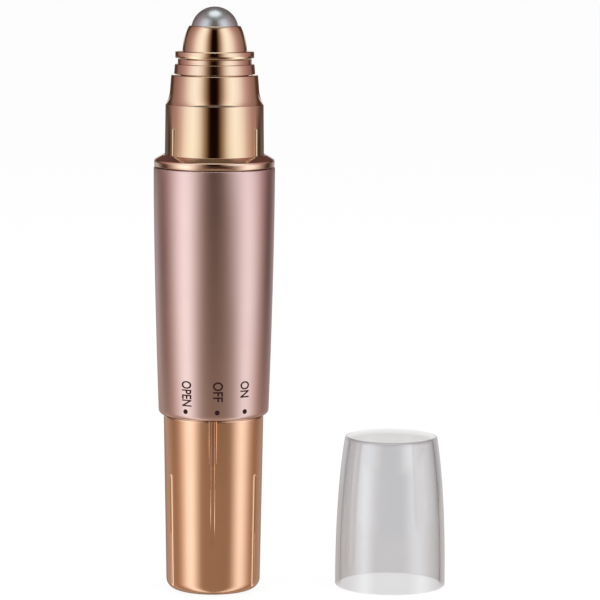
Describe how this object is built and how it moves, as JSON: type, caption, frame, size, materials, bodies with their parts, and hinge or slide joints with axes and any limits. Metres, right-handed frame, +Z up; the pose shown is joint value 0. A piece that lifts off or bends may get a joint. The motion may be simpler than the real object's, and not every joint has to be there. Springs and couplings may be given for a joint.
{
  "type": "vibrating eye massager pen",
  "caption": "Rose gold eye massager pen with a roller ball tip, a satin grip and a twist switch on its battery cover, with its clear travel cap standing beside it.",
  "frame": {"origin": "centre of the flat foot of the battery cover, on the surface the pen stands on", "axes": "+Z up along the pen to the ball, -Y the front with the ON, OFF and OPEN marks, +X towards the travel cap that stands beside it"},
  "size_m": [0.0644, 0.0298, 0.1274],
  "materials": {
    "rose_plate": "polished",
    "satin_rose": "satin",
    "ball_steel": "polished",
    "white_nylon": "matte",
    "grey_nylon": "matte",
    "black_rubber": "matte",
    "nickel": "satin",
    "spring_brass": "satin",
    "motor_steel": "satin",
    "magnet": "matte",
    "weight_metal": "satin",
    "cell_label": "satin",
    "red_lead": "satin",
    "black_lead": "satin",
    "clear_plastic": "gloss"
  },
  "bodies": {
    "pen": {"ball_socket": "rose_plate", "ball_seat": "white_nylon", "neck_ring": "rose_plate", "head_shell": "rose_plate", "collar_ring": "rose_plate", "grip_sleeve": "satin_rose", "core_housing": "white_nylon", "motor_mount": "black_rubber", "motor_can": "motor_steel", "motor_end_cap": "white_nylon", "motor_magnet_left": "magnet", "motor_magnet_right": "magnet", "motor_terminal_positive": "nickel", "motor_terminal_negative": "nickel", "motor_lead_positive": "red_lead", "motor_lead_negative": "black_lead", "positive_contact": "nickel", "switch_contact": "spring_brass", "aaa_battery": "cell_label"},
    "ball": {"roller_ball": "ball_steel"},
    "motor_rotor": {"motor_shaft": "nickel", "motor_armature": "motor_steel", "eccentric_weight": "weight_metal"},
    "switch": {"switch_ring": "grey_nylon"},
    "cover": {"battery_cover": "rose_plate", "cover_o_ring": "black_rubber", "negative_spring": "nickel", "cover_contact": "nickel"},
    "cap": {"travel_cap": "clear_plastic"}
  },
  "joints": [
    {"name": "ball_roll", "type": "hinge", "parent": "pen", "child": "ball", "pos_m": [0, 0, 0.12219], "axis": [1, 0, 0], "continuous": true},
    {"name": "motor_spin", "type": "hinge", "parent": "pen", "child": "motor_rotor", "pos_m": [0, 0, 0.109], "axis": [0, 0, 1], "continuous": true},
    {"name": "switch_turn", "type": "hinge", "parent": "pen", "child": "switch", "pos_m": [0, 0, 0.05], "axis": [0, 0, 1], "range_deg": [-29.4, 34.6]},
    {"name": "cover_pull", "type": "slide", "parent": "switch", "child": "cover", "axis": [0, 0, -1], "range_m": [0, 0.055]},
    {"name": "cap_lift", "type": "slide", "parent": "pen", "child": "cap", "axis": [0, 0, 1], "range_m": [0, 0.15]}
  ]
}
